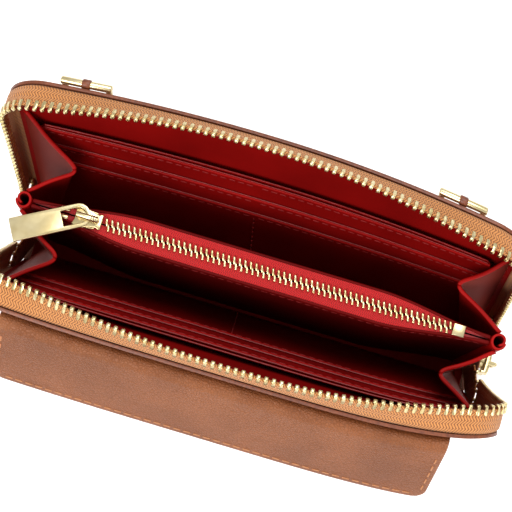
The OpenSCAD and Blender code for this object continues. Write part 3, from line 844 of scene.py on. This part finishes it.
# ---- spine ----
def make_spine():
    def outer(u, v):
        y = mix(-12.0, 12.0, v)
        return Vector((mix(-100, 100, u), y, 0.05 + 0.5 * (abs(y) / 12) ** 3))
    piece = sheet("spine_outside", 48, 12, outer, (200, 24), TAN_SHEET, LEATHER_T, -1)
    own(piece, "base", "tan_leather", "spine_leather")

    def inner(u, v):
        return Vector((mix(-97, 97, u), mix(-10.5, 10.5, v), 2.08))
    piece = sheet("spine_inside", 48, 8, inner, (194, 21), RED_SHEET, LINING_T)
    own(piece, "base", "red_leather", "spine_lining")
    for side in (FRONT, BACK):
        name = SIDE_NAME[side]

        def fold(u, v, half, a, mid, b):
            p = a * (1 - v) ** 2 + mid * 2 * v * (1 - v) + b * v * v
            return Vector(((2 * u - 1) * half, side * p.x, p.y))
        foot = on_cover(side, 0, 3.0, LEATHER_OFF + 0.2)
        tan_curve = (Vector((10.5, 0.2)), Vector((14.6, 0.4)), Vector((abs(foot.y), foot.z)))
        piece = sheet(f"{name}_spine_fold", 48, 12, lambda u, v: fold(u, v, 99.6, *tan_curve), (199, 8),
                      TAN_SHEET, 0.9, -side)
        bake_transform(piece)
        top = on_cover(side, 0, 4.0, LINING_OFF + 0.2)
        red_curve = (Vector((9.0, 1.9)), Vector((11.6, 2.2)), Vector((abs(top.y), top.z)))
        piece = sheet(f"{name}_lining_fold", 48, 10, lambda u, v: fold(u, v, 96.5, *red_curve), (193, 8),
                      LINING_SHEET, 0.5, side)
        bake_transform(piece)


def make_end_webs():
    """The zip tape's lower ends, which close each corner between the spine and a cover."""
    for side in (FRONT, BACK):
        for hand in (LEFT, RIGHT):
            name = f"{SIDE_NAME[side]}_{HAND_NAME[hand]}_end"

            def web(u, v):
                a = Vector((hand * mix(96.6, 98.2, v), side * 2.6, mix(1.6, 21.5, v)))
                b = on_cover(side, hand * 100.6, mix(0.8, 23.5, v), 10.3)
                p = a.lerp(b, u)
                p.x += hand * 1.8 * math.sin(math.pi * u) * (0.2 + 0.8 * v)
                p.z -= 1.6 * math.sin(math.pi * u) * v
                return p
            piece = sheet(f"{name}_web", 16, 16, web, (14, 20), [TAPE] * 3, 0.6, side * hand, 0.1)
            ends = [web(0.0, 0.5), web(1.0, 0.5)]
            ends = [Vector((0, e.y, e.z)) * MM for e in ends]
            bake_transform(piece)
            frames = []
            for i in range(4):
                u = (i + 0.7) / 4.4
                here = web(u, 1.0)
                ahead = (web(u + 0.02, 1.0) - web(u - 0.02, 1.0)).normalized()
                out = (web(u, 1.0) - web(u, 0.9)).normalized()
                up = ahead.cross(out).normalized()
                frames.append((here - out * 1.4, out, up.cross(out).normalized(), up))
            piece = copies(f"{name}_web_teeth", tooth_template, frames, [TOOTH_GOLD])
            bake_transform(piece)


make_spine()
make_end_webs()


# ---- centre pocket ----
def pocket_half(x):
    return mix(1.5, 6.4, smooth((92 - abs(x)) / 46))


def opening_half(x):
    return max((pocket_half(x) - 0.75) * smooth((95 - abs(x)) / 13), 0.25)


def make_pocket():
    for side in (FRONT, BACK):
        name = SIDE_NAME[side]

        def wall(u, v):
            x = (2 * u - 1) * POCKET_HALF
            belly = 0.5 * math.sin(math.pi * min(v, 0.8) / 0.8) * smooth((88 - abs(x)) / 30)
            return Vector((x, side * (pocket_half(x) - 0.1 + belly), mix(2.2, 82.6, v)))
        # the walls' darker red is painted shade inside the centre pocket
        piece = sheet(f"pocket_{name}_leather", 64, 24, wall, (181, 80), POCKET_SHEET,
                      0.8, -side, 0.2)
        own(piece, "base", "red_leather", f"pocket_wall_{name}")

        def border(u, v):
            x = (2 * u - 1) * POCKET_HALF
            half, hole = pocket_half(x), opening_half(x)
            # across the turned border: down the wall outside, over the top, down into the mouth
            profile = [(half + 0.4, 78.4), (half + 0.42, 80.6), (half + 0.4, 82.5), (half + 0.25, 83.3),
                       (half - 0.05, 83.62), (mix(half, hole, 0.6), 83.66), (hole + 0.15, 83.5),
                       (hole, 83.2), (hole + 0.2, 83.0)]
            i = min(int(v * 8), 7)
            w = v * 8 - i
            y, z = (mix(profile[i][k], profile[i + 1][k], w) for k in (0, 1))
            return Vector((x, side * y, z + 0.12 * math.sin(x / 9.0) * (1 if i > 2 else 0)))
        # the border's darker red face is painted shade
        piece = sheet(f"pocket_{name}_edge", 90, 16, border, (181, 9), [PAINTED_SHADE_RED, RED, RED_EDGE],
                      0.45, -side, 0.15)
        own(piece, "base", "red_leather", f"pocket_border_{name}")

        def tape(u, v):
            x = (2 * u - 1) * 90.0
            y = mix(0.3, max(pocket_half(x) - 0.3, 0.6), v)
            return Vector((x, side * y, 82.35 + 0.75 * smooth(v * 1.4)))
        piece = sheet(f"pocket_{name}_tape_cloth", 90, 10, tape, (181, 6), [FINE_TAPE] * 3, 0.45, side, 0)
        own(piece, "base", "red_tape", f"pocket_tape_{name}")
        line = [Vector((x, side * (pocket_half(x) + 0.47), 80.9)) for x in range(-88, 89, 2)]
        stitches(f"pocket_{name}_seam", [line], Vector((0, side, 0)), RED_THREAD, "base", "red_leather",
                 POCKET_STITCH)

    def floor_place(u, v):
        x = (2 * u - 1) * POCKET_HALF
        return Vector((x, (2 * v - 1) * pocket_half(x), 2.98))
    # the floor's darker red is painted shade
    piece = sheet("pocket_bottom_leather", 48, 6, floor_place, (181, 12),
                  POCKET_SHEET, 0.8)
    own(piece, "base", "red_leather", "pocket_floor")

    def fine_tooth(bm):
        box_in_three(bm, (0.86, 2.9, 1.9), (-0.35, 0.45), (0, 1, 0))
        for v in bm.verts:
            if v.co.y > 1:
                v.co.x *= 0.8
                v.co.z *= 0.7
            elif v.co.y < -1:
                v.co.x *= 1.12
            v.co.x -= 0.3 * v.co.y
        round_edges(bm, sharp_edges(bm, 0.6), 0.17)
    frames = []
    slider_room, out_of_line, chain_z = 5.5, 0.92, 83.15
    count = int((CHAIN_X1 - CHAIN_X0 - slider_room) / (FINE_PITCH / 2))
    for i in range(count):
        hand = 1 if i % 2 else -1
        x = CHAIN_X1 - (i + 0.5) * FINE_PITCH / 2
        frames.append((Vector((x, -hand * out_of_line, chain_z)), Vector((hand, 0, 0)),
                       Vector((0, hand, 0)), Vector((0, 0, 1))))
    piece = copies("pocket_teeth_chain", fine_tooth, frames, [TOOTH_GOLD])
    own(piece, "base", "gold_metal", "pocket_teeth")
    from_cad("pocket_bottom_stop", "pocket_end_stop", "base", "gold_metal", GOLD, 0.2)
    from_cad("pocket_top_stops", "pocket_start_stops", "base", "gold_metal", GOLD, 0.4)

    for hand in (LEFT, RIGHT):
        def tube(u, v):
            a = math.pi * (0.5 if hand == RIGHT else 1.5) + u * math.radians(430) * hand
            r = TUBE_R - 0.2 - 1.3 * smooth((u - 0.7) / 0.3)
            return Vector((hand * POCKET_X + r * math.sin(a), r * math.cos(a) * 1.08, mix(2.1, 85.5, v)))
        # the tube's brighter red face and rim are painted highlight, its darker red back painted shade
        piece = sheet(f"{HAND_NAME[hand]}_tube_leather", 56, 16, tube, (24, 83),
                      [PAINTED_HIGHLIGHT_RED, PAINTED_SHADE_RED, PAINTED_HIGHLIGHT_RED], 0.95, -hand, 0.3)
        own(piece, "base", "red_leather", f"side_tube_{HAND_NAME[hand]}")


make_pocket()


# ---- gussets ----
def gusset_line(side, hand, which, v):
    """The pocket's edge, the fold, or the cover's edge of a gusset at height share v."""
    if which == "pocket":
        return Vector((hand * POCKET_X, side * 3.75, mix(7.0, 83.6, v)))
    if which == "cover":
        return on_cover(side, hand * 96.5, mix(8.0, 84.0, v), 8.3)
    # the fold leans in from a point below the spine, and follows the cover's bow by a third
    z = mix(8.5, 80.6, v)
    d = (z + 4.955) * math.tan(math.radians(13.7))
    turn = math.radians(40.5)
    x = hand * POCKET_X
    lean_in = on_cover(side, x, mix(8.0, 84.0, v), 8.3).x - on_cover(side, x, 0, 8.3).x
    deep = 1.2 * d * math.cos(turn)
    return Vector((hand * (POCKET_X - deep) + lean_in * 0.35, side * (3.75 + d * math.sin(turn)), z))


def fold_path(a, fold, b, t):
    """A line from a to b that turns at a fold with a soft, rounded corner."""
    keep = 0.82
    near, far = a.lerp(fold, keep), b.lerp(fold, keep)
    edge = keep / 2
    if t <= edge:
        return a.lerp(near, t / edge)
    if t >= 1 - edge:
        return b.lerp(far, (1 - t) / edge)
    w = (t - edge) / (1 - 2 * edge)
    return near * (1 - w) ** 2 + fold * 2 * w * (1 - w) + far * w * w


def make_gusset(side, hand):
    name = f"gusset_{SIDE_NAME[side]}_{HAND_NAME[hand]}"
    for part in ("inner", "outer"):
        def leaf(u, v):
            a, fold, b = (gusset_line(side, hand, k, v) for k in ("pocket", "fold", "cover"))
            t = u * 0.497 if part == "inner" else 0.503 + u * 0.497
            p = fold_path(a, fold, b, t)
            p.x += hand * math.sin(2 * math.pi * t) ** 2 * (fold - a).length * 0.05
            p.z -= 0.9 * math.sin(2 * math.pi * t) ** 2 * v
            return p
        # the leaves' darker brownish backs are painted shade
        piece = sheet(f"{name}_{part}_leaf", 18, 30, leaf, (20, 76), [RED, PAINTED_SHADE_GUSSET_BACK, RED_EDGE], 0.6,
                      -side * hand, 0.2)
        own(piece, f"{name}_{part}", "red_leather", f"{name}_{part}")
        bm = bmesh.new()

        def bead(u, v):
            p = leaf(u, 1.0)
            ahead = (leaf(min(u + 0.02, 1.0), 1.0) - leaf(max(u - 0.02, 0.0), 1.0)).normalized()
            across = ahead.cross(Vector((0, 0, 1))).normalized()
            a = 2 * math.pi * v
            return p + across * 0.8 * math.cos(a) + Vector((0, 0, 0.55 * math.sin(a) - 0.15))
        add_grid(bm, 18, 10, bead, (20, 4), 0, True)
        bmesh.ops.holes_fill(bm, edges=[e for e in bm.edges if e.is_boundary], sides=0)
        orient(bm)
        # the top edge's brighter red is a painted highlight
        own(finish_piece(f"{name}_{part}_top_edge", bm, [PAINTED_HIGHLIGHT_RED]), f"{name}_{part}", "red_leather")


for cover_side in (FRONT, BACK):
    for corner in (LEFT, RIGHT):
        make_gusset(cover_side, corner)


# ---- front pocket and flap ----
def make_flap():
    def panel(u, v):
        s = mix(4.0, PANEL_TOP, v)
        x = (2 * u - 1) * outline_half(s, PANEL_SIDE, PANEL_TOP, 3)
        puff = 0.35 * math.sin(math.pi * u) * math.sin(math.pi * v)
        return on_cover(FRONT, x, s, PANEL_OFF + PANEL_T + puff)
    piece = sheet("front_panel_leather", 60, 32, panel, (179, 80), TAN_SHEET, PANEL_T, 1, 0.4)
    own(piece, "front_cover", "tan_leather", "front_pocket_panel")
    lines = [[on_cover(FRONT, x, mix(6, 82, i / 30), PANEL_OFF + 1.78) for i in range(31)]
             for x in (-87, 87)]
    lines.append(row_line(FRONT, -84, 84, 81.2, PANEL_OFF + 1.85))
    stitches("front_panel_seam", lines, face_out(FRONT), TAN_THREAD, "front_cover", "tan_leather")
    from_cad("panel_magnets", "panel_magnet_discs", "front_cover", "magnet_steel", STEEL, 0.15,
             bow_cad(FRONT))

    # lengths along the flap: its sewn strip, the roll, the free part
    root, roll, free = FLAP_ROOT, (ROLL_R + 0.6) * FLAP_TURN, FLAP_L
    total = root + roll + free

    def line(l, depth):
        """off and s at a length l along the flap from its sewn end, depth below its outer face."""
        r = ROLL_R + FLAP_T - depth
        if l < root:
            return ROLL_OFF - r, FLAP_S - root + l
        a = math.radians(180) - min((l - root) / roll, 1) * FLAP_TURN
        off, s = ROLL_OFF + r * math.cos(a), FLAP_S + r * math.sin(a)
        if l > root + roll:
            more = l - root - roll
            droop = 0.9 * (more / free) ** 2
            off += more * math.sin(a) - droop * math.cos(a)
            s -= more * math.cos(a) + droop * math.sin(a)
        return off, s

    def place(x, s, off):
        return on_cover(FRONT, x + FLAP_MID, s, off)

    def skin(u, v):
        l = total * v
        x = (2 * u - 1) * outline_half(l, FLAP_HALF, total, 5)
        off, s = line(l, 0)
        return place(x, s, off)
    piece = sheet("flap_skin", 72, 60, skin, (169, total), TAN_SHEET, FLAP_T, -1, 0.35)
    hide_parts("flap_root", "flap_leather")
    hinge_off = ROLL_OFF + ROLL_R * math.cos(math.radians(50))
    ends = [on_cover(FRONT, 0, FLAP_S, hinge_off + d) * MM for d in (-0.6, 2.6)]
    for end in ends:
        end.x = 0
    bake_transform(piece)

    def lining(u, v):
        l = mix(root + roll + 3.6, total - 0.3, v)
        x = (2 * u - 1) * outline_half(l, FLAP_HALF - 0.4, total - 0.3, 4.8)
        off, s = line(l, FLAP_T + 1.9)
        return place(x, s, off)
    piece = sheet("flap_inside", 60, 20, lining, (168, 26), [ROSY, ROSY, EDGE_PAINT], 0.8, 1, 0.25)
    own(piece, "flap", "brown_leather", "flap_lining")
    # filled edge between the flap's two leathers
    bm = bmesh.new()

    def rim(u, v):
        half, r = FLAP_HALF - 0.5, 4.6
        run = [(-half, root + roll + 4), (-half, total - r - 0.4)]
        for i in range(1, 9):
            a = math.pi / 2 * i / 8
            run.append((-half + r - r * math.cos(a), total - 0.4 - r + r * math.sin(a)))
        ring = run + [(-x, l) for x, l in reversed(run)]
        at = u * (len(ring) - 1)
        i = min(int(at), len(ring) - 2)
        x, l = (mix(ring[i][k], ring[i + 1][k], at - i) for k in (0, 1))
        off, s = line(l, FLAP_T + 0.05 + v * 1.05)
        return place(x, s, off)
    add_grid(bm, 76, 2, rim, (230, 1))
    piece = finish_piece("flap_edge_filling", bm, [EDGE_PAINT])
    own(piece, "flap", "tan_leather")
    lift = -0.05
    lines = [line(mix(root + roll + 3, total - 5, i / 20), lift) for i in range(21)]
    sides = [[place(hand * (FLAP_HALF - 2.2), s, off) for off, s in lines] for hand in (LEFT, RIGHT)]
    off, s = line(total - 2.3, lift)
    hem = [place(mix(-FLAP_HALF + 5, FLAP_HALF - 5, i / 60), s, off) for i in range(61)]
    o1, s1 = line(total - 4, 0)
    o2, s2 = line(total - 4, -1)
    normal = (on_cover(FRONT, 0, s2, o2) - on_cover(FRONT, 0, s1, o1)).normalized()
    stitches("flap_seam", sides + [hem], normal, TAN_THREAD, "flap", "tan_leather")
    from_cad("flap_magnets", "flap_magnet_discs", "flap", "magnet_steel", STEEL, 0.15, bow_cad(FRONT))
    off, s = line(2.4, lift)
    stitches("flap_root_seam", [row_line(FRONT, -FLAP_HALF + 3, FLAP_HALF - 3, s, off)],
             face_out(FRONT), TAN_THREAD, "front_cover", "tan_leather")


make_flap()


# ---- metal pieces ----
def add_rod(bm, a, b, radius):
    """A rod from a to b with rounded ends."""
    made = bmesh.ops.create_cone(bm, cap_ends=True, segments=16, radius1=radius, radius2=radius,
                                 depth=(b - a).length)["verts"]
    rims = dict.fromkeys(e for v in made for e in v.link_edges
                         if len({round(w.co.z, 4) for w in e.verts}) == 1)
    made = round_edges(bm, list(rims), radius * 0.3, 2) + [v for v in made if v.is_valid]
    turn = (b - a).to_track_quat("Z", "Y").to_matrix()
    for v in dict.fromkeys(made):
        v.co = (a + b) / 2 + turn @ v.co


def pocket_slider_shape():
    """A zip slider: a forked plate with two wings, lips beside the teeth and a ribbed barrel above."""
    bm = bmesh.new()
    half = [(5.4, 1.5), (5.4, 2.9), (4.3, 3.0), (3.8, 2.5), (1.2, 3.0), (-1.6, 4.1), (-4.3, 4.2),
            (-5.5, 3.3), (-4.9, 1.5)]
    ring = half + [(x, -y) for x, y in reversed(half)]
    face = bm.faces.new([bm.verts.new((x, y, 0)) for x, y in ring])
    up = bmesh.ops.extrude_face_region(bm, geom=[face])["geom"]
    bmesh.ops.translate(bm, vec=(0, 0, 1.1), verts=[v for v in up if isinstance(v, bmesh.types.BMVert)])
    orient(bm)
    round_edges(bm, sharp_edges(bm, 0.9), 0.28, 2)
    for side in (-1, 1):
        add_rod(bm, Vector((-3.8, side * 3.6, 0.0)), Vector((3.2, side * 2.9, 0.0)), 0.38)
    for x in (-3.6, 3.6):
        add_rod(bm, Vector((x, 0, 0.9)), Vector((x, 0, 4.2)), 0.88)
    add_rod(bm, Vector((-4.5, 0, 4.25)), Vector((4.2, 0, 4.1)), 1.15)
    for x in (1.6, 2.5, 3.4):
        add_rod(bm, Vector((x - 0.22, 0, 4.15)), Vector((x + 0.22, 0, 4.15)), 1.36)
    for v in bm.verts:
        v.co = (v.co + Vector((CHAIN_X0, 0, 84.5))) * MM
    return bm


def make_metal():
    # the pullers and the outer slider keep their working shapes, with rounded edges
    own(finish_piece("pocket_slider_body", pocket_slider_shape(), [GOLD], True), "pocket_slider",
        "gold_metal", "pocket_slider")
    from_cad("pocket_puller", "pocket_puller_tab", "pocket_puller", "gold_metal", GOLD, 0.28, None, 3)
    from_cad("outer_slider", "outer_slider_body", "outer_slider", "gold_metal", GOLD, 0.35, None, 3)
    from_cad("outer_puller", "outer_puller_tab", "outer_puller", "gold_metal", GOLD, 0.28, None, 3)
    def loop_piece(name, node, rods, mat, slot_name, *nodes):
        """Rods on the back cover, each as x from, x to, s from, s to and its radius."""
        bm = bmesh.new()
        for x0, x1, s0, s1, radius in rods:
            add_rod(bm, Vector((x0, LOOP_OFF, s0)), Vector((x1, LOOP_OFF, s1)), radius)
        for v in bm.verts:
            v.co = on_cover(BACK, v.co.x, v.co.z, v.co.y) * MM
        own(finish_piece(name, bm, [mat]), node, slot_name, *nodes)

    for hand in (LEFT, RIGHT):
        node = f"strap_loop_{HAND_NAME[hand]}"
        mid = hand * LOOP_X
        x0, x1 = mid - LOOP_HALF + LOOP_WIRE, mid + LOOP_HALF - LOOP_WIRE
        rods = [(x, x, LOOP_LOW - 0.8, LOOP_HIGH + 0.8, LOOP_WIRE) for x in (x0, x1)]
        rods.append((x0 - 0.9, x1 + 0.9, LOOP_LOW, LOOP_LOW, LOOP_WIRE))
        rods.append((x0 - 1.2, x1 + 1.2, LOOP_HIGH, LOOP_HIGH, 1.55))
        loop_piece(f"{HAND_NAME[hand]}_loop_ring", node, rods, GOLD, "gold_metal", node)
        pad = [(mid - 1.7, mid + 1.7, LOOP_HIGH, LOOP_HIGH, 1.95)]
        loop_piece(f"{HAND_NAME[hand]}_loop_pad", node, pad, EDGE_PAINT, "tan_leather")
    from_cad("strap_keepers", "loop_keeper_straps", "back_cover", "tan_leather", TAN, 0.25, bow_cad(BACK))
    from_cad("zip_end_tabs", "zip_end_leather", "base", "tan_leather", TAN, 0.5)
    from_cad("zip_end_tape", "zip_end_cloth", "base", "tan_tape", TAPE, 0.15)
    from_cad("zip_end_teeth", "zip_end_chain", "base", "gold_metal", TOOTH_GOLD, 0.2)


make_metal()
